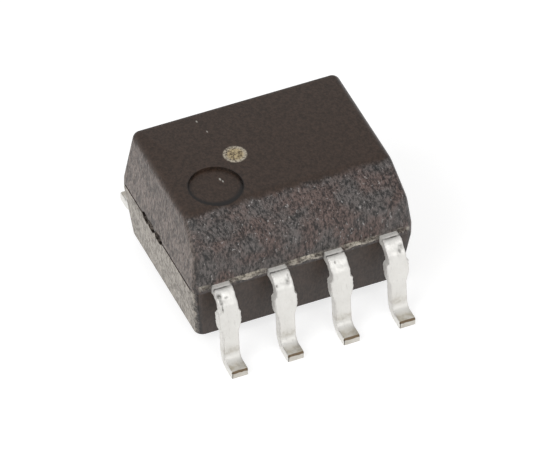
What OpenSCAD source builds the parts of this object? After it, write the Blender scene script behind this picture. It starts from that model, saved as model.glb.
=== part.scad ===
// Eight-lead small-outline surface-mount optocoupler.
// +X runs along the lead rows, +Y points to leads 5 to 8, and +Z is up.
// The origin is the centre of the footprint, on the surface of the board.
// Leads 1 to 4 run along the -Y side from -X to +X, and 5 to 8 run back along +Y.

/* [Body] */
// Length of the body along the lead rows, at its widest
body_length = 5.00; // [4.80:0.01:5.60]
// Width of the body between the lead rows, at its widest
body_width = 3.86; // [3.50:0.01:4.60]
// Height of the body's top face above the board
top_height = 3.10; // [2.95:0.01:3.60]
// Gap between the board and the body's underside
standoff = 0.28; // [0.10:0.01:0.45]
// Draft of the moulded sides, in degrees
draft = 7; // [3:0.5:10]
// Radius of the body's upright corners
corner_radius = 0.19; // [0.10:0.01:0.30]
// Radius of the body's upper edges
edge_radius = 0.18; // [0.08:0.01:0.24]
// Width of the bevel along the pin 1 edge, seen from above
bevel_width = 0.78; // [0.40:0.01:0.95]
// Height of the bevel along the pin 1 edge
bevel_height = 0.60; // [0.40:0.01:0.90]
// Radius of the two long edges of the bevel
bevel_radius = 0.40; // [0.25:0.01:0.60]
// Height of the upright belt below the parting line
belt_height = 0.28; // [0.22:0.01:0.40]

/* [Marks in the moulding] */
// Diameter of the pin 1 recess
recess_diameter = 1.16; // [0.60:0.01:1.30]
// Depth of the pin 1 recess
recess_depth = 0.07; // [0.03:0.01:0.15]
// Distance from the body's left end, at its widest, to the middle of the pin 1 recess
recess_from_end = 1.11; // [0.95:0.01:1.50]
// Distance from the upper edge of the bevel to the rim of the pin 1 recess
recess_from_bevel = 0.00; // [0.00:0.01:0.40]
// Diameter of the ejector pin's mark in the underside
ejector_diameter = 1.00; // [0.60:0.01:1.40]
// Depth of the ejector pin's mark
ejector_depth = 0.04; // [0.02:0.01:0.10]
// Depth of the fine groove along the parting line at each end
end_groove_depth = 0.025; // [0.01:0.005:0.05]
// Height of the fine groove at each end
end_groove_height = 0.05; // [0.03:0.01:0.08]
// Width of the scar that the broken gate leaves on the left end
gate_width = 1.05; // [0.60:0.01:1.40]
// Distance from the body's middle to the middle of the gate scar
gate_offset = 0.25; // [0.00:0.01:0.50]
// Depth of the gate scar
gate_depth = 0.09; // [0.04:0.01:0.15]
// Furthest that the mould flash stands out of the sides
flash_width = 0.08; // [0.03:0.01:0.14]
// Thickness of the mould flash
flash_thickness = 0.05; // [0.02:0.01:0.12]

/* [Leads] */
// Distance between neighbouring leads
pitch = 1.27; // [1.20:0.01:1.35]
// Thickness of the lead strip
lead_thickness = 0.20; // [0.15:0.01:0.22]
// Height of the leads' top face where they leave the body
lead_height = 1.78; // [1.60:0.01:1.90]
// Width of a lead above the cut dam bar
shoulder_width = 0.41; // [0.36:0.01:0.50]
// Width of a lead below the cut dam bar
foot_width = 0.37; // [0.30:0.01:0.46]
// Flat length of a lead between the body and its first bend
shoulder_length = 0.10; // [0.08:0.01:0.40]
// Inner radius of the bend at the shoulder
shoulder_radius = 0.20; // [0.10:0.01:0.30]
// Inner radius of the bend at the foot
heel_radius = 0.16; // [0.08:0.01:0.30]
// Outward lean of the legs, in degrees
lean = 7; // [2:0.5:12]
// Flat length of the foot
foot_length = 0.26; // [0.15:0.01:0.60]
// Distance from the shoulder bend to the cut dam bar
dam_bar_start = 0.08; // [0.04:0.01:0.30]
// Length of the dam bar's stubs along the leg
dam_bar_length = 0.52; // [0.25:0.01:0.60]
// How far each dam bar stub stands out of the lead's edge
dam_bar_stub = 0.05; // [0.02:0.01:0.08]
// Distance from the body to the fine coined groove across the shoulder
coin_distance = 0.13; // [0.08:0.01:0.14]
// Depth of the coined groove
coin_depth = 0.02; // [0.01:0.005:0.03]

/* [Inner ends of the leads] */
// Flat length of a lead inside the body, before its step
root_length = 0.33; // [0.25:0.01:0.45]
// Length of the heads that anchor the unconnected leads
anchor_length = 0.25; // [0.15:0.01:0.35]
// Width of the heads that anchor the unconnected leads
anchor_width = 0.70; // [0.50:0.01:0.78]
// Step down from the leads' plane to the detector's paddle
detector_drop = 0.40; // [0.25:0.01:0.60]
// Smallest gap between a paddle and its neighbours
inner_gap = 0.20; // [0.15:0.01:0.25]
// Bare rim of a paddle round its die
paddle_rim = 0.12; // [0.08:0.01:0.15]
// Width of the arms that reach in from the corner leads
arm_width = 0.42; // [0.30:0.01:0.50]

/* [Dies and gel] */
// Side of the detector die
detector_size = 0.80; // [0.60:0.01:0.84]
// Thickness of the detector die
detector_thickness = 0.25; // [0.15:0.01:0.30]
// Side of the light-emitting die
emitter_size = 0.30; // [0.20:0.01:0.40]
// Thickness of the light-emitting die
emitter_thickness = 0.18; // [0.10:0.01:0.22]
// Thickness of the silver epoxy under each die
attach_thickness = 0.02; // [0.015:0.005:0.04]
// Clear distance between the two dies
light_gap = 0.30; // [0.22:0.01:0.40]
// Radius of the clear gel where it meets the paddles
gel_radius = 0.60; // [0.60:0.01:0.68]
// How far the gel swells out between the paddles
gel_bulge = 0.10; // [0.04:0.01:0.15]
// Diameter of the bond wires
wire_diameter = 0.025; // [0.02:0.005:0.04]
// Rise of a bond wire above the straight line between its ends
wire_loop = 0.12; // [0.08:0.01:0.13]

/* [Hidden] */
$fn = 64;

epoxy_colour = [0.24, 0.22, 0.21];
tin_colour = [0.85, 0.84, 0.81];
emitter_colour = [0.72, 0.52, 0.20];
detector_colour = [0.35, 0.37, 0.42];
silver_colour = [0.75, 0.75, 0.76];
gold_colour = [0.90, 0.72, 0.30];
gel_colour = [0.90, 0.92, 0.95, 0.35];

lead_count = 8;
leads_per_side = lead_count / 2;
// Corners of each pit and steps of each strip of flash
broken_steps = 7;
// Extra length that lets a cut run clear of a face
clear = 0.5;
// Facets of the spheres and cylinders that the body's hull is stretched over
hull_facets = 32;
// Flats that make up each bend of a lead
arc_steps = 14;
// Flats that make up each long edge of the bevel
bevel_steps = 4;
half_length = body_length / 2;
half_width = body_width / 2;
belt_bottom = lead_height - belt_height;

// Section of the body's upper half across the leads, as points [outward, up]
bevel_angle = atan2(bevel_height, bevel_width);
side_angle = 90 - draft;
function slope_normal(slope) = [sin(slope), cos(slope)];
function side_inset(rise) = rise * tan(draft);
back_edge = [half_width - side_inset(top_height - lead_height), top_height];
bevel_bottom_z = top_height - bevel_height;
bevel_bottom = [half_width - side_inset(bevel_bottom_z - lead_height), bevel_bottom_z];
bevel_top = [bevel_bottom.x - bevel_width, top_height];
// Centre of a round edge that touches both faces that meet at a corner
function edge_centre(corner, normal_a, normal_b, radius) =
    corner - radius * (normal_a + normal_b) / (1 + normal_a * normal_b);
// Centres of small spheres that stand in for a wide round edge, between two slopes
function wide_edge(corner, slope_a, slope_b) = [
    for (i = [0:bevel_steps])
        let (slope = slope_a + (slope_b - slope_a) * i / bevel_steps)
        edge_centre(corner, slope_normal(slope_a), slope_normal(slope_b), bevel_radius)
            + (bevel_radius - edge_radius) * slope_normal(slope)
];
// Distance from the middle to an edge's centre, so that it touches the drafted end
function end_centre(z) =
    half_length - ((z - lead_height) * sin(draft) + edge_radius) / cos(draft);

// Side view of a lead, as points [outward, up]
lead_bottom = lead_height - lead_thickness;
shoulder_outer = shoulder_radius + lead_thickness;
shoulder_centre = [half_width + shoulder_length, lead_height - shoulder_outer];
heel_z = lead_thickness + heel_radius;
leg_normal = [cos(lean), sin(lean)];
leg_top = shoulder_centre + shoulder_outer * leg_normal;
leg_drop = leg_top.y - heel_z + heel_radius * sin(lean);
leg_end = leg_top + leg_drop * [tan(lean), -1];
heel_centre = leg_end + heel_radius * leg_normal;
foot_tip = heel_centre.x + foot_length;

// Levels and places inside the body
detector_paddle_top = lead_height - detector_drop;
detector_die_bottom = detector_paddle_top + attach_thickness;
detector_die_top = detector_die_bottom + detector_thickness;
emitter_die_bottom = detector_die_top + light_gap;
emitter_die_top = emitter_die_bottom + emitter_thickness;
emitter_paddle_bottom = emitter_die_top + attach_thickness;
emitter_rise = emitter_paddle_bottom - lead_bottom;
step_start = half_width - root_length;
detector_rim = detector_size / 2 + paddle_rim;
emitter_rim = emitter_size / 2 + paddle_rim;
short_lead_end = detector_rim + inner_gap;
wire_radius = wire_diameter / 2;
// How far the centre of a bond wire's end is kept inside the edge of its landing
landing = 3 * wire_diameter;
// How far a bond pad lies inside the edge of its die
pad_inset = 0.10;
detector_pad = detector_size / 2 - pad_inset;

// Place of a lead along its row
function lead_x(n) =
    (n <= leads_per_side
        ? n - (leads_per_side + 1) / 2
        : (leads_per_side + 1) / 2 + leads_per_side - n) * pitch;
// Step in the level of a lead inside the body
function lead_step(n) =
    n == 2 || n == 3 ? emitter_rise : n > leads_per_side ? -detector_drop : 0;
// Distance from the body's middle to the end of a lead's straight strip
function strip_end(n) =
    n == 1 || n == 4 ? step_start
    : n == 2 ? -arm_width / 2
    : n == 3 ? -emitter_rim
    : n == 5 || n == 8 ? -arm_width / 2
    : short_lead_end;

// Points along an arc, from one angle to another
function arc(centre, radius, from, to) = [
    for (i = [0:arc_steps])
        let (angle = from + (to - from) * i / arc_steps)
        centre + radius * [cos(angle), sin(angle)]
];

// Side view of the whole strip, from its inner end to the foot's tip
module strip_section(step, inner_end) {
    step_end = step_start - abs(step);
    polygon(concat(
        [[inner_end, lead_height + step], [step_end, lead_height + step], [step_start, lead_height]],
        arc(shoulder_centre, shoulder_outer, 90, lean),
        arc(heel_centre, heel_radius, 180 + lean, 270),
        [[foot_tip, lead_thickness], [foot_tip, 0]],
        arc(heel_centre, heel_radius + lead_thickness, 270, 180 + lean),
        arc(shoulder_centre, shoulder_radius, lean, 90),
        [[step_start, lead_bottom], [step_end, lead_bottom + step], [inner_end, lead_bottom + step]]
    ));
}

// Front view of a lead, with the cut stubs of the dam bar on both edges
module front_outline() {
    wide = shoulder_width / 2;
    stub = wide + dam_bar_stub;
    narrow = foot_width / 2;
    upper = leg_top.y - dam_bar_start;
    lower = upper - dam_bar_length;
    edge = [
        [wide, lead_height + clear],
        [wide, upper],
        [stub, upper - dam_bar_length / 10],
        [stub, lower + dam_bar_length / 2],
        [narrow, lower],
        [narrow, -clear]
    ];
    polygon(concat(edge, [for (i = [len(edge) - 1:-1:0]) [-edge[i].x, edge[i].y]]));
}

// Space that the strip's width fills, seen from the front and from above
module width_envelope(inner_end) {
    overlap = shoulder_length / 4;
    translate([-shoulder_width / 2, inner_end - clear, 0])
        cube([shoulder_width, shoulder_centre.x - inner_end + clear, top_height]);
    translate([0, foot_tip + clear, 0])
        rotate([90, 0, 0])
            linear_extrude(foot_tip + clear - shoulder_centre.x + overlap)
                front_outline();
}

// One lead's strip, bent and stepped, with its outer end towards +Y
module lead_strip(step, inner_end) {
    width = shoulder_width + 2 * dam_bar_stub;
    intersection() {
        rotate([90, 0, 90])
            translate([0, 0, -width / 2])
                linear_extrude(width)
                    strip_section(step, inner_end);
        width_envelope(inner_end);
    }
}

// Flat plate of the strip between two corners [x, outward], at a given level
module plate(corner_a, corner_b, bottom) {
    low = [min(corner_a.x, corner_b.x), min(corner_a.y, corner_b.y)];
    high = [max(corner_a.x, corner_b.x), max(corner_a.y, corner_b.y)];
    translate([low.x, low.y, bottom])
        cube([high.x - low.x, high.y - low.y, lead_thickness]);
}

// Head that locks an unconnected lead into the epoxy
module anchor(n, outer_end) {
    plate(
        [lead_x(n) - anchor_width / 2, outer_end - anchor_length],
        [lead_x(n) + anchor_width / 2, outer_end],
        lead_bottom + lead_step(n)
    );
}

// Paddles and arms at the inner ends of the leads
module inner_plates(n) {
    middle = abs(lead_x(n));
    outer_edge = middle + shoulder_width / 2;
    half_arm = arm_width / 2;
    bottom = lead_bottom + lead_step(n);
    if (n == 1 || n == 4)
        anchor(n, step_start);
    if (n == 6 || n == 7)
        anchor(n, short_lead_end + anchor_length);
    if (n == 3)
        plate([-emitter_rim, -emitter_rim], [outer_edge, 2 * emitter_rim], bottom);
    if (n == 2)
        plate([-outer_edge, -half_arm], [-emitter_rim - inner_gap, arm_width], bottom);
    if (n == 5) {
        plate([-detector_rim, -detector_rim], [detector_rim, detector_rim], bottom);
        plate([0, -half_arm], [middle, half_arm], bottom);
    }
    if (n == 8)
        plate([-middle, -half_arm], [-short_lead_end, half_arm], bottom);
}

// Knife-edged bar that coins the fine groove across a lead's shoulder
module coining_bar(n) {
    side = coin_depth * sqrt(2);
    translate([lead_x(n), half_width + coin_distance, lead_height])
        rotate([45, 0, 0])
            cube([shoulder_width + clear, side, side], center = true);
}

module lead(n) {
    color(tin_colour)
        mirror([0, n <= leads_per_side ? 1 : 0, 0])
            difference() {
                union() {
                    translate([lead_x(n), 0, 0])
                        lead_strip(lead_step(n), strip_end(n));
                    inner_plates(n);
                }
                coining_bar(n);
            }
}

// Convex outer form of the moulding: drafted halves, belt, bevel and round edges
module moulding() {
    pin_edge = concat(
        wide_edge(bevel_top, 0, bevel_angle),
        wide_edge(bevel_bottom, bevel_angle, side_angle)
    );
    far_edge = edge_centre(back_edge, slope_normal(0), slope_normal(side_angle), edge_radius);
    lower_height = belt_bottom - standoff;
    underside_inset = side_inset(lower_height);
    belt_corner = [half_length - corner_radius, half_width - corner_radius];
    lower_corner = belt_corner - [underside_inset, underside_inset];
    hull() {
        for (side = [-1, 1]) {
            for (centre = pin_edge)
                translate([side * end_centre(centre.y), -centre.x, centre.y])
                    sphere(edge_radius, $fn = hull_facets);
            translate([side * end_centre(far_edge.y), far_edge.x, far_edge.y])
                sphere(edge_radius, $fn = hull_facets);
            for (row = [-1, 1]) {
                translate([side * belt_corner.x, row * belt_corner.y, belt_bottom])
                    cylinder(r = corner_radius, h = belt_height, $fn = hull_facets);
                translate([side * lower_corner.x, row * lower_corner.y, standoff])
                    cylinder(r = corner_radius, h = lower_height / 2, $fn = hull_facets);
            }
        }
    }
}

// Irregular value from -1 to 1, fixed for each step and place
function uneven(step, place) = sin(step * 77 + place * 97);

// Strip of flash with a broken outer edge, just below the parting line
module flash(start, end) {
    stride = (end - start) / (broken_steps + 1);
    rooted = half_width - corner_radius;
    // Least that the flash stands out, as a share of the most
    least = 0.3;
    function reach(i) = flash_width * (1 + least + (1 - least) * uneven(i, start)) / 2;
    edge = [for (i = [0:broken_steps]) [start + stride * (i + 0.5), half_width + reach(i)]];
    translate([0, 0, lead_height - flash_thickness])
        linear_extrude(flash_thickness)
            polygon(concat(
                [[end, rooted], [start, rooted], [start, half_width]],
                edge,
                [[end, half_width]]
            ));
}

// Flash between the leads of one row, and on to the corners
module flash_row() {
    edge = shoulder_width / 2;
    for (i = [1:leads_per_side - 1])
        flash(lead_x(i) + edge, lead_x(i + 1) - edge);
    flash(corner_radius - half_length, lead_x(1) - edge);
    flash(lead_x(leads_per_side) + edge, half_length - corner_radius);
}

// Pits that the broken gate leaves, in the belt on the left end
module gate_scar() {
    // Each pit's place, width and depth, as shares of the scar's width and depth
    pits = [[0.34, 0.34, 0.6], [0.06, 0.36, 1.0], [-0.30, 0.44, 0.8]];
    // Half of a pit's height, as a share of the belt, and how uneven its edge is
    rise = 0.42;
    wobble = 0.15;
    function pit_corner(pit, i) =
        let (turn = i * 360 / broken_steps, size = 1 + wobble * uneven(i, pit[0]))
        size * [gate_width * pit[1] / 2 * cos(turn), belt_height * rise * sin(turn)];
    for (pit = pits)
        translate([
            -half_length - clear,
            gate_offset + pit[0] * gate_width,
            belt_bottom + belt_height / 2
        ])
            rotate([90, 0, 90])
                linear_extrude(clear + gate_depth * pit[2])
                    polygon([for (i = [0:broken_steps - 1]) pit_corner(pit, i)]);
}

// Fine groove along the parting line, across the flat of each end
module end_grooves() {
    length = body_width - 2 * corner_radius;
    for (side = [-1, 1])
        translate([side * half_length, 0, lead_height - belt_height / 2])
            cube([2 * end_groove_depth, length, end_groove_height], center = true);
}

// Everything that the epoxy is moulded round
module embedded() {
    for (n = [1:lead_count])
        lead(n);
    gel_form();
    supply_wire();
    output_wire();
    ground_wire();
}

module body() {
    recess_x = -half_length + recess_from_end;
    recess_y = -(bevel_top.x - recess_from_bevel - recess_diameter / 2);
    color(epoxy_colour)
        difference() {
            union() {
                moulding();
                flash_row();
                mirror([0, 1, 0])
                    flash_row();
            }
            translate([recess_x, recess_y, top_height - recess_depth])
                cylinder(d = recess_diameter, h = recess_depth + clear);
            translate([0, 0, standoff - clear])
                cylinder(d = ejector_diameter, h = ejector_depth + clear);
            end_grooves();
            gate_scar();
            embedded();
        }
}

// Square block centred on the light path
module block(size, bottom, height) {
    translate([-size / 2, -size / 2, bottom])
        cube([size, size, height]);
}

module emitter_die() {
    color(emitter_colour)
        block(emitter_size, emitter_die_bottom, emitter_thickness);
}

module emitter_die_attach() {
    color(silver_colour)
        block(emitter_size, emitter_die_top, attach_thickness);
}

module detector_die() {
    color(detector_colour)
        block(detector_size, detector_die_bottom, detector_thickness);
}

module detector_die_attach() {
    color(silver_colour)
        block(detector_size, detector_paddle_top, attach_thickness);
}

// Bond wire in a smooth loop from its die to its landing
module wire(start, end, loop) {
    sides = 8;
    rings = 12;
    run = [end.x - start.x, end.y - start.y];
    heading = atan2(run.y, run.x);
    function centre(t) = start + (end - start) * t + [0, 0, 4 * loop * t * (1 - t)];
    function slope(t) = atan2(end.z - start.z + 4 * loop * (1 - 2 * t), norm(run));
    // The two end rings lie flat on the die and the landing
    function tilt(i) = i == 0 ? 90 * sign(loop) : i == rings ? -90 * sign(loop) : slope(i / rings);
    function ring_point(i, k) =
        let (a = k * 360 / sides, s = tilt(i))
        centre(i / rings) + wire_radius * (
            cos(a) * [-sin(heading), cos(heading), 0]
            + sin(a) * [-sin(s) * cos(heading), -sin(s) * sin(heading), cos(s)]
        );
    function index(i, k) = i * sides + k % sides;
    polyhedron(
        points = [for (i = [0:rings]) for (k = [0:sides - 1]) ring_point(i, k)],
        faces = concat(
            [[for (k = [0:sides - 1]) k]],
            [[for (k = [sides - 1:-1:0]) index(rings, k)]],
            [for (i = [0:rings - 1]) for (k = [0:sides - 1])
                [index(i, k), index(i + 1, k), index(i + 1, k + 1)]],
            [for (i = [0:rings - 1]) for (k = [0:sides - 1])
                [index(i, k), index(i + 1, k + 1), index(i, k + 1)]]
        ),
        convexity = 4
    );
}

module supply_wire() {
    color(gold_colour)
        wire(
            [-detector_pad, 0, detector_die_top],
            [-short_lead_end - landing, 0, detector_paddle_top],
            wire_loop
        );
}

module output_wire() {
    color(gold_colour)
        wire(
            [-detector_pad, detector_pad, detector_die_top],
            [-lead_x(6), short_lead_end + landing, detector_paddle_top],
            wire_loop
        );
}

module ground_wire() {
    color(gold_colour)
        wire(
            [detector_pad, 0, detector_die_top],
            [detector_rim + landing, 0, detector_paddle_top],
            wire_loop
        );
}

module emitter_wire() {
    color(gold_colour)
        wire(
            [0, 0, emitter_die_bottom],
            [-emitter_rim - inner_gap - landing, 0, emitter_paddle_bottom],
            -wire_loop
        );
}

// Barrel of gel between the two paddles, before the dies and wires displace it
module gel_form() {
    height = emitter_paddle_bottom - detector_paddle_top;
    // Radius of the arc that swells by the bulge over the gel's height
    arc = (gel_bulge * gel_bulge + height * height / 4) / (2 * gel_bulge);
    translate([0, 0, detector_paddle_top])
        rotate_extrude()
            intersection() {
                translate([gel_radius + gel_bulge - arc, height / 2])
                    circle(arc);
                square([gel_radius + gel_bulge, height]);
            }
}

module coupling_gel() {
    color(gel_colour)
        difference() {
            gel_form();
            emitter_die();
            emitter_die_attach();
            detector_die();
            detector_die_attach();
            emitter_wire();
            supply_wire();
            output_wire();
            ground_wire();
        }
}

body();
for (n = [1:lead_count])
    lead(n);
emitter_die();
emitter_die_attach();
detector_die();
detector_die_attach();
emitter_wire();
supply_wire();
output_wire();
ground_wire();
coupling_gel();
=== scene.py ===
import math

import bmesh
import bpy
from mathutils import Matrix, Vector


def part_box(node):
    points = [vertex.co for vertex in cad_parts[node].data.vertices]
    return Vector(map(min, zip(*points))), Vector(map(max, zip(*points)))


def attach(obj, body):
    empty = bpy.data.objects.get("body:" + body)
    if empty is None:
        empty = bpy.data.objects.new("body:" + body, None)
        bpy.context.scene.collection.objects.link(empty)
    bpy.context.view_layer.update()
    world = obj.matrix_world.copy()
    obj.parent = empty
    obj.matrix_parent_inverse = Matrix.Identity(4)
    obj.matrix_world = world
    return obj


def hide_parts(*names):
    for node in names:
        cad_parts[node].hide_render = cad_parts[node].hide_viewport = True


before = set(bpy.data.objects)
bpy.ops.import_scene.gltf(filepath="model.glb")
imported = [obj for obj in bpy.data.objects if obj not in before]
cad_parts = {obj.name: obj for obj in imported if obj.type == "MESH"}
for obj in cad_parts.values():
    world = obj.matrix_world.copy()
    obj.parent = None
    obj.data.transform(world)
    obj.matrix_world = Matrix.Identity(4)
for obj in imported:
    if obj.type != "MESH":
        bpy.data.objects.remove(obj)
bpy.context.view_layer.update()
MM = 0.001

# ---------------------------------------------------------------- camera
CAMERA_AZIMUTH = math.radians(-24.04)
CAMERA_ELEVATION = math.radians(43.44)
CAMERA_ROLL = math.radians(0.615)
CAMERA_DISTANCE = 187.70 * MM
CAMERA_LENS = 595.0
AIM_RIGHT = 0.069 * MM
AIM_UP = 0.757 * MM


def make_camera():
    back = Vector((
        math.sin(CAMERA_AZIMUTH) * math.cos(CAMERA_ELEVATION),
        -math.cos(CAMERA_AZIMUTH) * math.cos(CAMERA_ELEVATION),
        math.sin(CAMERA_ELEVATION),
    ))
    level = Vector((math.cos(CAMERA_AZIMUTH), math.sin(CAMERA_AZIMUTH), 0.0))
    upright = back.cross(level)
    right = level * math.cos(CAMERA_ROLL) + upright * math.sin(CAMERA_ROLL)
    up = back.cross(right)
    place = back * CAMERA_DISTANCE + right * AIM_RIGHT + up * AIM_UP
    data = bpy.data.cameras.new("camera")
    data.sensor_width = 36.0
    data.lens = CAMERA_LENS
    data.clip_start, data.clip_end = 0.01, 10.0
    camera = bpy.data.objects.new("camera", data)
    turn = Matrix((right, up, back)).transposed().to_4x4()
    camera.matrix_world = Matrix.Translation(place) @ turn
    bpy.context.scene.collection.objects.link(camera)
    bpy.context.scene.camera = camera


make_camera()


# ---------------------------------------------------------------- node helper
class Tree:
    """A material's node tree, with short calls for the nodes that this scene uses."""

    def __init__(self, name):
        self.material = bpy.data.materials.new(name)
        self.material.use_nodes = True
        self.tree = self.material.node_tree
        self.tree.nodes.clear()
        self.out = self.add("ShaderNodeOutputMaterial")
        self.shader = self.add("ShaderNodeBsdfPrincipled")
        self.link(self.shader.outputs[0], self.out.inputs["Surface"])

    def add(self, kind, **settings):
        node = self.tree.nodes.new(kind)
        for key, value in settings.items():
            setattr(node, key, value)
        return node

    def link(self, source, target):
        self.tree.links.new(source, target)

    def put(self, socket, value):
        if isinstance(value, bpy.types.NodeSocket):
            self.link(value, socket)
        elif value is not None:
            socket.default_value = value

    def place(self):
        """The point in the shared frame, in millimetres."""
        coord = self.add("ShaderNodeTexCoord")
        scaled = self.add("ShaderNodeVectorMath", operation="SCALE")
        self.link(coord.outputs["Object"], scaled.inputs[0])
        scaled.inputs["Scale"].default_value = 1000.0
        return scaled.outputs[0]

    def normal(self):
        return self.add("ShaderNodeTexCoord").outputs["Normal"]

    def split(self, vector):
        node = self.add("ShaderNodeSeparateXYZ")
        self.link(vector, node.inputs[0])
        return node.outputs[0], node.outputs[1], node.outputs[2]

    def math(self, operation, a, b=None, c=None):
        node = self.add("ShaderNodeMath", operation=operation)
        for socket, value in zip(node.inputs, (a, b, c)):
            self.put(socket, value)
        return node.outputs[0]

    def ease(self, value, start, end, low=0.0, high=1.0):
        """Smooth step of a value, from low at start to high at end."""
        node = self.add("ShaderNodeMapRange", interpolation_type="SMOOTHSTEP")
        node.inputs["From Min"].default_value = start
        node.inputs["From Max"].default_value = end
        node.inputs["To Min"].default_value = low
        node.inputs["To Max"].default_value = high
        self.put(node.inputs["Value"], value)
        return node.outputs[0]

    def scaled(self, vector, factors):
        node = self.add("ShaderNodeVectorMath", operation="MULTIPLY")
        self.put(node.inputs[0], vector)
        node.inputs[1].default_value = factors
        return node.outputs[0]

    def noise(self, vector, scale, detail=2.0, rough=0.5):
        node = self.add("ShaderNodeTexNoise")
        self.put(node.inputs["Vector"], vector)
        node.inputs["Scale"].default_value = scale
        node.inputs["Detail"].default_value = detail
        node.inputs["Roughness"].default_value = rough
        return node.outputs["Fac"]

    def blend(self, factor, a, b):
        node = self.add("ShaderNodeMix", data_type="RGBA")
        self.put(node.inputs[0], factor)
        for socket, value in ((node.inputs[6], a), (node.inputs[7], b)):
            self.put(socket, (*value, 1.0) if isinstance(value, tuple) else value)
        return node.outputs[2]

    def bump(self, height, distance, strength=1.0):
        node = self.add("ShaderNodeBump")
        self.link(height, node.inputs["Height"])
        node.inputs["Distance"].default_value = distance
        node.inputs["Strength"].default_value = strength
        self.link(node.outputs[0], self.shader.inputs["Normal"])

    def finish(self, colour=None, roughness=None, **constants):
        self.put(self.shader.inputs["Base Color"], (*colour, 1.0) if isinstance(colour, tuple) else colour)
        self.put(self.shader.inputs["Roughness"], roughness)
        for name, value in constants.items():
            self.shader.inputs[name.replace("_", " ")].default_value = value
        return self.material


# ---------------------------------------------------------------- stage
FLOOR_HALF_SIZE = 1.2
FLOOR_GAP = 0.02 * MM


def make_floor():
    mesh = bpy.data.meshes.new("floor")
    corners = [(x * FLOOR_HALF_SIZE, y * FLOOR_HALF_SIZE, 0) for x, y in ((-1, -1), (1, -1), (1, 1), (-1, 1))]
    mesh.from_pydata(corners, [], [(0, 1, 2, 3)])
    floor = bpy.data.objects.new("floor", mesh)
    floor.location.z = -FLOOR_GAP
    bpy.context.scene.collection.objects.link(floor)
    t = Tree("floor")
    seen = seen_by(t)
    glow = t.add("ShaderNodeEmission")
    glow.inputs["Strength"].default_value = 1.0
    t.put(glow.inputs["Color"], t.blend(seen, (0.0, 0.0, 0.0), (0.72, 0.72, 0.72)))
    total = t.add("ShaderNodeAddShader")
    t.link(t.shader.outputs[0], total.inputs[0])
    t.link(glow.outputs[0], total.inputs[1])
    t.link(total.outputs[0], t.out.inputs["Surface"])
    cloth = t.blend(seen, (0.86, 0.86, 0.86), (0.42, 0.42, 0.42))
    mesh.materials.append(t.finish(colour=cloth, roughness=0.9, Specular_IOR_Level=0.0))


def seen_by(t):
    """1 for camera, glossy and transmitted rays."""
    path = t.add("ShaderNodeLightPath")
    direct = t.math("MAXIMUM", path.outputs["Is Camera Ray"], path.outputs["Is Glossy Ray"])
    return t.math("MAXIMUM", direct, path.outputs["Is Transmission Ray"])


def make_world():
    world = bpy.data.worlds.new("world")
    bpy.context.scene.world = world
    world.use_nodes = True
    background = world.node_tree.nodes["Background"]
    background.inputs["Color"].default_value = (1.0, 1.0, 1.0, 1.0)
    background.inputs["Strength"].default_value = 0.55


def make_lamp(name, azimuth, elevation, distance, size, watts):
    """A soft square lamp, aimed at the middle of the object."""
    a, e = math.radians(azimuth), math.radians(elevation)
    back = Vector((math.sin(a) * math.cos(e), -math.cos(a) * math.cos(e), math.sin(e)))
    data = bpy.data.lights.new(name, "AREA")
    data.shape = "SQUARE"
    data.size = size
    data.energy = watts
    lamp = bpy.data.objects.new(name, data)
    lamp.location = back * distance
    lamp.rotation_mode = "QUATERNION"
    lamp.rotation_quaternion = (-back).to_track_quat("-Z", "Y")
    bpy.context.scene.collection.objects.link(lamp)


make_floor()
make_world()
make_lamp("key", -70, 40, 0.40, 0.25, 0.8)
make_lamp("front", 10, 35, 0.45, 0.30, 0.4)
bpy.context.scene.view_settings.view_transform = "Standard"


# ---------------------------------------------------------------- sizes in millimetres, as in the CAD
BODY_HALF_WIDTH = 1.93
LEAD_TOP, LEAD_THICK, PITCH = 1.78, 0.20, 1.27
SHOULDER_LENGTH, SHOULDER_RADIUS, HEEL_RADIUS, LEAN = 0.10, 0.20, 0.16, math.radians(7)
SHOULDER_WIDTH, FOOT_WIDTH, STUB = 0.41, 0.37, 0.05
STUB_START, STUB_LENGTH = 0.08, 0.52
COIN_DISTANCE, COIN_DEPTH = 0.13, 0.02
ROOT_LENGTH = 0.33
BEND_FLAT = 0.035
FOOT_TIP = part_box("lead_5")[1].y / MM
ROOT = BODY_HALF_WIDTH - ROOT_LENGTH
COIN = BODY_HALF_WIDTH + COIN_DISTANCE
BEND_MIDDLE, BEND_SPREAD = math.radians(48), math.radians(17)
EDGE_RADIUS, BURR_RADIUS = 0.035, 0.018


# ---------------------------------------------------------------- materials
def spot(t, p, place, radius, soft, stretch=(1.0, 1.0, 1.0)):
    """1 within a radius of a point, and 0 outside it."""
    node = t.add("ShaderNodeVectorMath", operation="SUBTRACT")
    t.link(p, node.inputs[0])
    node.inputs[1].default_value = place
    length = t.add("ShaderNodeVectorMath", operation="LENGTH")
    t.link(t.scaled(node.outputs[0], stretch), length.inputs[0])
    return t.ease(length.outputs["Value"], radius - soft, radius + soft, 1.0, 0.0)


def both(t, *masks):
    value = masks[0]
    for mask in masks[1:]:
        value = t.math("MULTIPLY", value, mask)
    return value


RECESS_PLACE, RECESS_RADIUS = (-1.39, -0.483, 3.05), 0.58
DOT_PLACE, DOT_RADIUS = (-0.64, 0.24, 3.10), 0.25
PALE_SPECKS = (((-0.98, 1.47, 3.10), 0.014), ((-0.90, 1.10, 3.10), 0.012),
               ((-1.20, -0.27, 3.03), 0.018), ((-1.17, -0.35, 3.03), 0.014))


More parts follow.
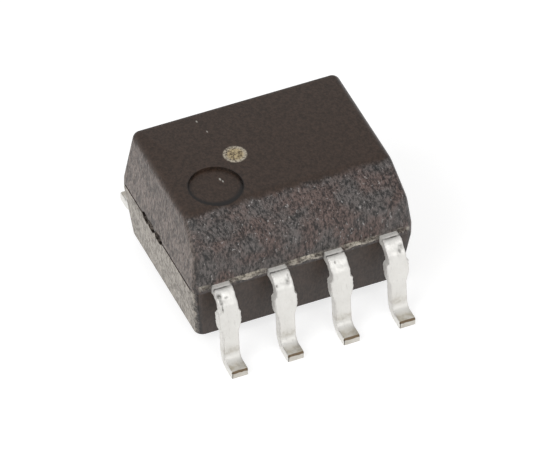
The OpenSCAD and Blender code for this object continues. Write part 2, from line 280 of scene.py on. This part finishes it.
def epoxy_material():
    t = Tree("moulded_epoxy")
    p = t.place()
    x, y, z = t.split(p)
    nx, ny, nz = t.split(t.normal())
    side_x, side_y = t.math("ABSOLUTE", nx), t.math("ABSOLUTE", ny)
    long_p = t.scaled(p, (1.0, 0.8, 0.42))
    drift = t.noise(p, 5.0, 2.0)
    hue = t.ease(t.noise(p, 1.7, 2.0), 0.38, 0.62)

    # Where the mould is polished, and where it is spark eroded
    inside = spot(t, p, RECESS_PLACE, RECESS_RADIUS + 0.015, 0.02, (1.0, 1.0, 0.0))
    inside = both(t, inside, t.ease(z, 2.90, 2.93))
    level = t.math("ADD", t.math("MULTIPLY_ADD", drift, 0.16, z), t.math("MULTIPLY", side_y, -0.22))
    top = t.math("MAXIMUM", t.ease(level, 2.96, 3.10), inside)
    lower = t.ease(z, 1.66, 1.60)
    smooth = t.math("MAXIMUM", top, both(t, lower, t.ease(side_x, 0.6, 0.4)))
    rough = t.math("SUBTRACT", 1.0, smooth)

    # Grain in two sizes, on brown and grey areas, with painted glints standing in for highlights on the rough
    # grains
    fine = t.noise(long_p, 21.0, 2.0, 0.7)
    broad = t.noise(long_p, 8.5, 3.0, 0.7)
    grain = t.math("ADD", t.math("MULTIPLY", fine, 0.6), t.math("MULTIPLY", broad, 0.4))
    painted_glints = t.ease(t.noise(t.scaled(p, (1.0, 0.9, 0.5)), 15.0, 2.0, 0.65), 0.62, 0.74)
    brown = t.blend(t.ease(grain, 0.38, 0.62), (0.014, 0.008, 0.006), (0.135, 0.092, 0.080))
    grey = t.blend(t.ease(grain, 0.38, 0.62), (0.010, 0.009, 0.008), (0.122, 0.106, 0.100))
    deep = t.blend(hue, brown, grey)
    eroded = t.blend(t.math("MULTIPLY", painted_glints, 0.75), deep, (0.36, 0.34, 0.33))
    polished = t.blend(t.ease(grain, 0.36, 0.64), (0.022, 0.012, 0.007), (0.048, 0.028, 0.019))
    colour = t.blend(rough, polished, eroded)

    # The ends are lighter, partly dust and partly painted sheen of grazing light, and darker towards the top;
    # below the parting line they are paler still
    end = t.ease(side_x, 0.55, 0.85)
    dust_and_sheen = t.blend(t.ease(grain, 0.38, 0.62), (0.034, 0.023, 0.017), (0.190, 0.150, 0.128))
    dust_and_sheen = t.blend(t.ease(z, 2.3, 3.0, 0.0, 0.35), dust_and_sheen, (0.05, 0.036, 0.03))
    colour = t.blend(both(t, end, t.math("SUBTRACT", 1.0, top)), colour, dust_and_sheen)
    # Below the parting line the end is painted pale, as a painted reflection of the white floor
    low_end_reflection = both(t, end, t.ease(z, 1.67, 1.61))
    pale_floor_reflection = t.blend(t.ease(grain, 0.38, 0.62), (0.10, 0.082, 0.062), (0.40, 0.36, 0.31))
    colour = t.blend(low_end_reflection, colour, pale_floor_reflection)

    # The round upright corners are painted dark, standing in for the dark reflection on their smooth rounds
    corner = t.ease(t.math("MULTIPLY", side_x, side_y), 0.14, 0.42)
    corner = t.math("MULTIPLY", corner, t.ease(grain, 0.40, 0.62, 0.80, 0.25))
    colour = t.blend(corner, colour, (0.012, 0.009, 0.007))

    # Broken flash along the lead rows, palest midway between two leads
    reach = t.math("ABSOLUTE", y)
    share = t.math("FRACT", t.math("MULTIPLY_ADD", x, 1 / PITCH, 0.5))
    span = t.math("ABSOLUTE", t.math("SUBTRACT", share, 0.5))
    ragged = t.math("ADD", z, t.math("MULTIPLY", t.noise(p, 7.0, 3.0, 0.7), 0.10))
    row = both(t, t.ease(reach, 1.90, 1.915), t.ease(ragged, 1.725, 1.755), t.ease(ragged, 1.885, 1.855),
               t.ease(side_x, 0.8, 0.5), t.ease(t.math("ABSOLUTE", x), 2.42, 2.34))
    crumbs = t.blend(t.ease(t.noise(p, 13.0, 3.0, 0.7), 0.34, 0.58), (0.10, 0.085, 0.066), (0.50, 0.46, 0.39))
    patches = t.ease(t.noise(p, 4.0, 2.0), 0.34, 0.52, 0.25, 1.0)
    amount = t.math("MULTIPLY", t.ease(span, 0.40, 0.10, 0.15, 1.0), patches)
    colour = t.blend(t.math("MULTIPLY", row, amount), colour, crumbs)

    # Pits of the broken gate in the left end, and a dark smear above them
    pit = both(t, t.ease(x, -2.499, -2.485), t.ease(x, -2.30, -2.34), t.ease(z, 1.48, 1.50))
    pit = both(t, pit, t.ease(z, 1.80, 1.78), t.ease(y, -0.6, -0.5), t.ease(y, 1.0, 0.9))
    scar = t.blend(t.ease(t.noise(p, 9.0, 3.0, 0.7), 0.42, 0.62), (0.010, 0.007, 0.005), (0.22, 0.19, 0.165))
    colour = t.blend(pit, colour, scar)
    smear = both(t, spot(t, p, (-2.46, 0.42, 1.73), 0.24, 0.14, (1.0, 0.75, 1.6)), t.ease(z, 1.64, 1.68))
    smear = t.math("MULTIPLY", smear, t.ease(broad, 0.40, 0.58, 0.85, 0.35))
    colour = t.blend(smear, colour, (0.008, 0.006, 0.005))

    # Painted shade in the recess: a dark crescent along its front wall, and a dark line along its back wall
    middle = (RECESS_PLACE[0] + 0.02, RECESS_PLACE[1] + 0.11, RECESS_PLACE[2])
    recess_unshaded_middle = spot(t, p, middle, RECESS_RADIUS - 0.045, 0.05, (1.0, 1.0, 0.0))
    dark = both(t, inside, t.math("SUBTRACT", 1.0, recess_unshaded_middle))
    colour = t.blend(t.math("MULTIPLY", dark, 0.92), colour, (0.003, 0.002, 0.002))

    # Printed pin 1 dot, in speckled pale gold ink
    disc = both(t, spot(t, p, DOT_PLACE, DOT_RADIUS, 0.02), t.ease(nz, 0.9, 0.95))
    rim = t.math("SUBTRACT", 1.0, spot(t, p, DOT_PLACE, 0.18, 0.05))
    ink = t.noise(p, 24.0, 3.0, 0.75)
    gold = t.blend(t.ease(ink, 0.40, 0.58), (0.09, 0.062, 0.030), (0.44, 0.35, 0.20))
    beige = t.blend(t.ease(ink, 0.38, 0.56), (0.10, 0.082, 0.060), (0.44, 0.39, 0.31))
    colour = t.blend(both(t, disc, t.ease(ink, 0.28, 0.42)), colour, t.blend(rim, gold, beige))

    # A few pale specks that lie on the top
    for place, radius in PALE_SPECKS:
        speck = spot(t, p, place, radius, 0.010, (1.0, 0.5, 1.0))
        colour = t.blend(t.math("MULTIPLY", speck, 0.8), colour, (0.45, 0.43, 0.39))

    height = t.math("MULTIPLY", grain, t.math("ADD", t.math("MULTIPLY", rough, 0.88), 0.12))
    t.bump(height, 0.00007, 0.9)
    return t.finish(colour=colour, roughness=t.ease(grain, 0.3, 0.7, 0.44, 0.38))


def tin_material(name, tool_marks_and_reflections=()):
    t = Tree(name)
    p = t.place()
    _, y, z = t.split(p)
    nz = t.split(t.normal())[2]
    reach = t.math("ABSOLUTE", y)
    cloud = t.noise(p, 3.5, 3.0, 0.6)
    streak = t.noise(t.scaled(p, (1.0, 0.25, 0.25)), 24.0, 3.0, 0.6)
    colour = t.blend(cloud, (0.78, 0.765, 0.73), (0.92, 0.905, 0.87))
    colour = t.blend(t.ease(streak, 0.58, 0.72, 0.0, 0.3), colour, (0.50, 0.485, 0.45))
    colour = t.blend(t.ease(z, 1.66, 1.50, 0.0, 0.16), colour, (0.40, 0.39, 0.36))

    # The line that the forming tool presses across the shoulder, painted dark as shade and dark reflection in
    # its groove
    line = both(t, t.ease(reach, COIN - 0.024, COIN - 0.012), t.ease(reach, COIN + 0.024, COIN + 0.012))
    line = both(t, line, t.ease(z, 1.70, 1.72))
    line = t.math("MULTIPLY", line, t.ease(t.noise(p, 6.0, 2.0), 0.34, 0.56, 0.35, 0.9))
    colour = t.blend(line, colour, (0.13, 0.125, 0.115))

    # The foot is duller, and the band above its bend is painted darker, as the dark reflection that it shows
    tip = FOOT_TIP
    foot = both(t, t.ease(reach, tip - 0.30, tip - 0.12), t.ease(z, 0.23, 0.20), t.ease(nz, 0.5, 0.8))
    foot = t.math("MULTIPLY", foot, t.ease(t.noise(p, 9.0, 3.0), 0.35, 0.65, 0.30, 0.75))
    colour = t.blend(foot, colour, (0.46, 0.41, 0.31))
    painted_dark_band = both(t, t.ease(z, 0.30, 0.37), t.ease(z, 0.55, 0.42))
    painted_dark_band = t.math("MULTIPLY", painted_dark_band, t.ease(t.noise(p, 12.0, 3.0), 0.35, 0.65, 0.1, 0.5))
    colour = t.blend(painted_dark_band, colour, (0.50, 0.47, 0.41))

    # The sheared tip is duller than the plated faces
    sheared = both(t, t.ease(reach, tip - 0.012, tip - 0.004), t.ease(nz, 0.6, 0.3))
    sheared = t.math("MULTIPLY", sheared, t.ease(cloud, 0.3, 0.7, 0.75, 0.45))
    colour = t.blend(sheared, colour, (0.44, 0.40, 0.33))

    # Bare copper shows brown along the upper edge of the sheared tip
    uneven = t.math("ADD", z, t.math("MULTIPLY", t.noise(p, 11.0, 2.0), 0.05))
    edge = both(t, t.ease(reach, tip - 0.030, tip - 0.012), t.ease(uneven, 0.150, 0.170))
    colour = t.blend(t.math("MULTIPLY", edge, 0.95), colour, (0.125, 0.078, 0.034))

    # Marks that the trimming and forming tools leave on the bend, painted dark: partly tool marks and partly
    # painted dark reflection in the dents
    for place, radius, stretch in tool_marks_and_reflections:
        tool_mark_and_reflection = spot(t, p, place, radius, radius * 0.7, stretch)
        patchy = t.ease(t.noise(p, 15.0, 2.0), 0.30, 0.58, 0.35, 0.92)
        colour = t.blend(both(t, tool_mark_and_reflection, patchy), colour, (0.085, 0.08, 0.07))
    t.bump(t.math("ADD", streak, t.math("MULTIPLY", t.noise(p, 9.0, 2.0), 1.6)), 0.000012, 0.6)
    return t.finish(colour=colour, roughness=t.ease(cloud, 0.2, 0.8, 0.52, 0.42), Metallic=0.55)


def plain_material(name, dark, light, roughness, scale=12.0, **constants):
    t = Tree(name)
    cloud = t.noise(t.place(), scale, 3.0)
    uneven = t.ease(cloud, 0.2, 0.8, roughness, roughness + 0.1)
    return t.finish(colour=t.blend(cloud, dark, light), roughness=uneven, **constants)


epoxy = epoxy_material()
hidden = {
    "emitter_die": plain_material("emitter_chip", (0.55, 0.38, 0.10), (0.75, 0.55, 0.2), 0.3),
    "detector_die": plain_material("detector_chip", (0.08, 0.09, 0.12), (0.14, 0.15, 0.2), 0.15),
    "attach": plain_material("silver_epoxy", (0.45, 0.45, 0.45), (0.6, 0.6, 0.6), 0.4, Metallic=0.8),
    "wire": plain_material("gold_wire", (0.8, 0.55, 0.2), (0.9, 0.66, 0.3), 0.2, Metallic=1.0),
    "gel": plain_material("clear_gel", (0.85, 0.87, 0.9), (0.95, 0.96, 0.98), 0.05, Transmission_Weight=1.0),
}
for name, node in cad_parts.items():
    found = [m for ending, m in hidden.items() if name.endswith(ending)]
    node.data.materials.clear()
    node.data.materials.append(found[0] if found else epoxy)


# ---------------------------------------------------------------- leads
def link_piece(name, mesh, material, node):
    mesh.materials.clear()
    mesh.materials.append(material)
    piece = bpy.data.objects.new(name, mesh)
    bpy.context.scene.collection.objects.link(piece)
    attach(piece, "root")
    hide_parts(node)
    return piece


def wave(value, seed):
    """Smooth irregular value from about -1 to 1."""
    return sum(math.sin(value * rate + seed * turn) for rate, turn in ((41, 1.7), (97, 2.9), (173, 4.3))) / 3


def clamp(value):
    return max(0.0, min(1.0, value))


def lead_stations(inner_end, step):
    """Points down the middle of the strip, each as (outward, up, normal angle, length along the strip)."""
    mid = LEAD_TOP - LEAD_THICK / 2
    bend = (BODY_HALF_WIDTH + SHOULDER_LENGTH, LEAD_TOP - LEAD_THICK - SHOULDER_RADIUS)
    mid_shoulder, mid_heel = SHOULDER_RADIUS + LEAD_THICK / 2, HEEL_RADIUS + LEAD_THICK / 2
    upright = math.pi / 2
    heel_z = LEAD_THICK + HEEL_RADIUS
    # The leg runs from the shoulder's bend to the heel's bend along one line
    drop = bend[1] + mid_shoulder * math.sin(LEAN) - heel_z + mid_heel * math.sin(LEAN)
    leg_x = bend[0] + mid_shoulder * math.cos(LEAN)
    heel = (leg_x + drop * math.tan(LEAN) + mid_heel * math.cos(LEAN), heel_z)
    points = [(inner_end, mid + step, upright), (ROOT - abs(step) - 0.01, mid + step, upright)]
    points += [(ROOT + (bend[0] - ROOT) * i / 24, mid, upright) for i in range(24)]
    for i in range(19):
        a = upright + (LEAN - upright) * i / 18
        points.append((bend[0] + mid_shoulder * math.cos(a), bend[1] + mid_shoulder * math.sin(a), a))
    for i in range(1, 36):
        fall = drop * i / 36
        points.append((leg_x + fall * math.tan(LEAN), bend[1] + mid_shoulder * math.sin(LEAN) - fall, LEAN))
    for i in range(15):
        a = LEAN + (upright - LEAN) * i / 14
        points.append((heel[0] - mid_heel * math.cos(a), heel[1] - mid_heel * math.sin(a), a))
    for share in (0.25, 0.5, 0.72, 0.86, 0.94, 0.98, 1.0):
        points.append((heel[0] + (FOOT_TIP - heel[0]) * share, LEAD_THICK / 2, upright))
    stations, length = [], 0.0
    for i, point in enumerate(points):
        if i:
            length += math.dist(point[:2], points[i - 1][:2])
        stations.append((*point, length))
    return stations


def lead_half_width(outward, up, seed, side):
    """Half of the strip's width, with the torn stub of the dam bar."""
    wide, narrow = SHOULDER_WIDTH / 2, FOOT_WIDTH / 2
    bend_radius = SHOULDER_RADIUS + LEAD_THICK
    upper = LEAD_TOP - bend_radius + bend_radius * math.sin(LEAN) - STUB_START
    lower = upper - STUB_LENGTH
    if outward < BODY_HALF_WIDTH + SHOULDER_LENGTH or up > upper + 0.03:
        out = BODY_HALF_WIDTH - 0.02 < outward
        return wide + (0.006 * wave(outward + up, seed + side) if out else 0.0)
    ramp_in = min(1.0, (upper + 0.03 - up) / 0.05)
    taper = clamp((up - lower) / (STUB_LENGTH * 0.55))
    base = narrow + (wide - narrow) * taper
    torn = 0.010 * wave(up * 1.3, seed * 3 + side) * taper
    return base + ramp_in * taper * (2 - taper) * STUB + torn * ramp_in + 0.003 * wave(up, seed - side)


def section(left, right, half_thick, top_radius, low_radius):
    """Outline of the strip's section, as (across, through) points."""
    shares = (0.0, 0.03, 0.14, 0.28, 0.42, 0.58, 0.72, 0.86, 0.97, 1.0)
    sides = (0.0, 0.1, 0.5, 0.9, 1.0)
    turns = [(math.cos(math.radians(a)), math.sin(math.radians(a))) for a in (67.5, 45.0, 22.5)]
    back = turns[::-1]
    top, low = half_thick - top_radius, low_radius - half_thick
    span = top - low
    points = [(-left + top_radius + (right + left - 2 * top_radius) * share, half_thick) for share in shares]
    points += [(right - top_radius + top_radius * c, top + top_radius * n) for c, n in turns]
    points += [(right, top - span * share) for share in sides]
    points += [(right - low_radius + low_radius * n, low - low_radius * c) for c, n in turns]
    points += [(-left + low_radius + (right + left - 2 * low_radius) * (1 - share), -half_thick)
               for share in shares]
    points += [(-left + low_radius - low_radius * c, low - low_radius * n) for c, n in back]
    points += [(-left, low + span * share) for share in sides]
    points += [(-left + top_radius - top_radius * n, top + top_radius * c) for c, n in back]
    return points


def box_faces(mesh, low, high):
    corners = [mesh.verts.new((x, y, z))
               for z in (low[2], high[2]) for y in (low[1], high[1]) for x in (low[0], high[0])]
    for face in ((0, 2, 3, 1), (4, 5, 7, 6), (0, 1, 5, 4), (2, 6, 7, 3), (0, 4, 6, 2), (1, 3, 7, 5)):
        mesh.faces.new([corners[i] for i in face])


def make_lead(number, inner_end, step, plates, dents, material):
    """One lead as a bent strip with rounded, torn edges.

    Plates are pairs of (x, y) corners inside the body. Dents are (outward, across, radius, depth)
    on the outer face.
    """
    front = number <= 4
    middle = (number - 2.5 if front else 6.5 - number) * PITCH
    flip = -1.0 if front else 1.0
    stations = lead_stations(inner_end, step)
    last = stations[-1][3]
    mesh = bmesh.new()
    rings = []
    for outward, up, angle, length in stations:
        tip = max(0.0, 1 - (last - length) / 0.03)
        left = lead_half_width(outward, up, number, 1) - 0.008 * tip
        right = lead_half_width(outward, up, number, 2) - 0.008 * tip
        nu, nz = math.cos(angle), math.sin(angle)
        ring = []
        for across, through in section(left, right, LEAD_THICK / 2, EDGE_RADIUS, BURR_RADIUS):
            shift = through
            if through > 0.05 and outward > BODY_HALF_WIDTH - 0.01:
                inside = clamp((right - 0.03 - across) / 0.02) * clamp((across + left - 0.03) / 0.02)
                if up > 1.4:
                    shift -= COIN_DEPTH * math.exp(-((outward - COIN) / 0.014) ** 2) * inside
                for at, off, radius, depth in dents:
                    if up > 0.5:
                        apart = math.hypot(outward - at, across - off) / radius
                        shift -= depth * math.exp(-apart ** 2)
                if up > 1.3:
                    shift -= BEND_FLAT * math.exp(-((angle - BEND_MIDDLE) / BEND_SPREAD) ** 2)
                shift += 0.0025 * wave(length * 0.6 + across * 0.7, number)
                shift -= 0.03 * tip * tip
            if through < -0.05:
                shift += 0.012 * tip * tip
            place = (middle + across, flip * (outward + nu * shift), up + nz * shift)
            ring.append(mesh.verts.new([c * MM for c in place]))
        rings.append(ring)
    count = len(rings[0])
    for a, b in zip(rings, rings[1:]):
        for i in range(count):
            mesh.faces.new((a[i], a[(i + 1) % count], b[(i + 1) % count], b[i])).smooth = True
    for ring in (rings[0], rings[-1]):
        for edge in mesh.faces.new(ring).edges:
            edge.smooth = False
    for low, high in plates:
        level = LEAD_TOP - LEAD_THICK + step
        near, far = sorted((flip * low[1], flip * high[1]))
        corner = [c * MM for c in (high[0], far, level + LEAD_THICK)]
        box_faces(mesh, [c * MM for c in (low[0], near, level)], corner)
    bmesh.ops.recalc_face_normals(mesh, faces=mesh.faces)
    data = bpy.data.meshes.new(f"lead_skin_{number}")
    mesh.to_mesh(data)
    mesh.free()
    link_piece(f"lead_skin_{number}", data, material, f"lead_{number}")


HALF_ARM, DETECTOR_RIM, EMITTER_RIM, INNER_GAP = 0.21, 0.52, 0.27, 0.20
ANCHOR_LENGTH, ANCHOR_WIDTH = 0.25, 0.70
DETECTOR_DROP = 0.40
SHORT_END = DETECTOR_RIM + INNER_GAP
OUTER_EDGE = 0.5 * PITCH + SHOULDER_WIDTH / 2
CORNER_MIDDLE = 1.5 * PITCH


def anchor(middle, outer_end):
    return (middle - ANCHOR_WIDTH / 2, outer_end - ANCHOR_LENGTH), (middle + ANCHOR_WIDTH / 2, outer_end)


def make_leads():
    emitter_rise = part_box("lead_3")[1].z / MM - LEAD_TOP
    plain = tin_material("tinned_lead")
    marked = {
        1: tin_material("tinned_lead_1", [
            ((-2.06, -2.23, 1.71), 0.055, (1.0, 0.8, 0.8)), ((-2.05, -2.33, 1.63), 0.045, (1.3, 0.7, 0.7)),
            ((-1.93, -2.28, 1.68), 0.040, (0.7, 1.2, 1.2)), ((-2.055, -2.41, 1.50), 0.030, (1.8, 0.5, 0.4))]),
        2: tin_material("tinned_lead_2", [
            ((-0.50, -2.24, 1.72), 0.040, (1.5, 0.7, 0.7)), ((-0.54, -2.31, 1.66), 0.050, (1.2, 0.8, 0.8)),
            ((-0.80, -2.34, 1.63), 0.030, (1.0, 0.8, 0.8))]),
        3: tin_material("tinned_lead_3", [((0.56, -2.24, 1.72), 0.030, (1.2, 0.8, 0.8))]),
        4: tin_material("tinned_lead_4", [
            ((2.035, -2.29, 1.68), 0.050, (1.0, 0.8, 0.8)), ((1.985, -2.35, 1.62), 0.040, (1.3, 0.8, 0.8))]),
    }
    short_anchor_end = SHORT_END + ANCHOR_LENGTH
    crossbar = ((-OUTER_EDGE, -HALF_ARM), (-EMITTER_RIM - INNER_GAP, 2 * HALF_ARM))
    emitter_paddle = ((-EMITTER_RIM, -EMITTER_RIM), (OUTER_EDGE, 2 * EMITTER_RIM))
    detector_paddle = ((-DETECTOR_RIM, -DETECTOR_RIM), (DETECTOR_RIM, DETECTOR_RIM))
    ground_arm = ((0.0, -HALF_ARM), (CORNER_MIDDLE, HALF_ARM))
    supply_arm = ((-CORNER_MIDDLE, -HALF_ARM), (-SHORT_END, HALF_ARM))
    drop = -DETECTOR_DROP
    # Inner end, step, plates and dents of each lead
    plans = {
        1: (ROOT, 0.0, [anchor(-CORNER_MIDDLE, ROOT)],
            [(2.22, -0.10, 0.05, 0.020), (2.34, 0.02, 0.07, 0.012)]),
        2: (-HALF_ARM, emitter_rise, [crossbar], [(2.24, 0.10, 0.05, 0.022), (2.36, -0.08, 0.06, 0.012)]),
        3: (-EMITTER_RIM, emitter_rise, [emitter_paddle], [(2.30, -0.12, 0.06, 0.012)]),
        4: (ROOT, 0.0, [anchor(CORNER_MIDDLE, ROOT)],
            [(2.24, 0.11, 0.06, 0.022), (2.32, -0.10, 0.05, 0.012)]),
        5: (-HALF_ARM, drop, [detector_paddle, ground_arm], [(2.28, 0.05, 0.06, 0.012)]),
        6: (SHORT_END, drop, [anchor(0.5 * PITCH, short_anchor_end)], [(2.24, -0.10, 0.05, 0.015)]),
        7: (SHORT_END, drop, [anchor(-0.5 * PITCH, short_anchor_end)], [(2.30, 0.10, 0.06, 0.012)]),
        8: (-HALF_ARM, drop, [supply_arm], [(2.26, -0.02, 0.06, 0.014)]),
    }
    for number, (inner_end, step, plates, dents) in plans.items():
        make_lead(number, inner_end, step, plates, dents, marked.get(number, plain))


make_leads()


# ---------------------------------------------------------------- moulding
def make_moulding():
    """The CAD body's own surface, with its facets shaded as the round edges that they stand for."""
    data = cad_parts["body"].data.copy()
    data.name = "moulding_skin"
    mesh = bmesh.new()
    mesh.from_mesh(data)
    bmesh.ops.remove_doubles(mesh, verts=mesh.verts, dist=0.000002)
    for face in mesh.faces:
        face.smooth = True
    for edge in mesh.edges:
        edge.smooth = len(edge.link_faces) == 2 and edge.calc_face_angle(0.0) < math.radians(24)
    mesh.to_mesh(data)
    mesh.free()
    if "custom_normal" in data.attributes:
        data.attributes.remove(data.attributes["custom_normal"])
    link_piece("moulding_skin", data, epoxy, "body")


make_moulding()
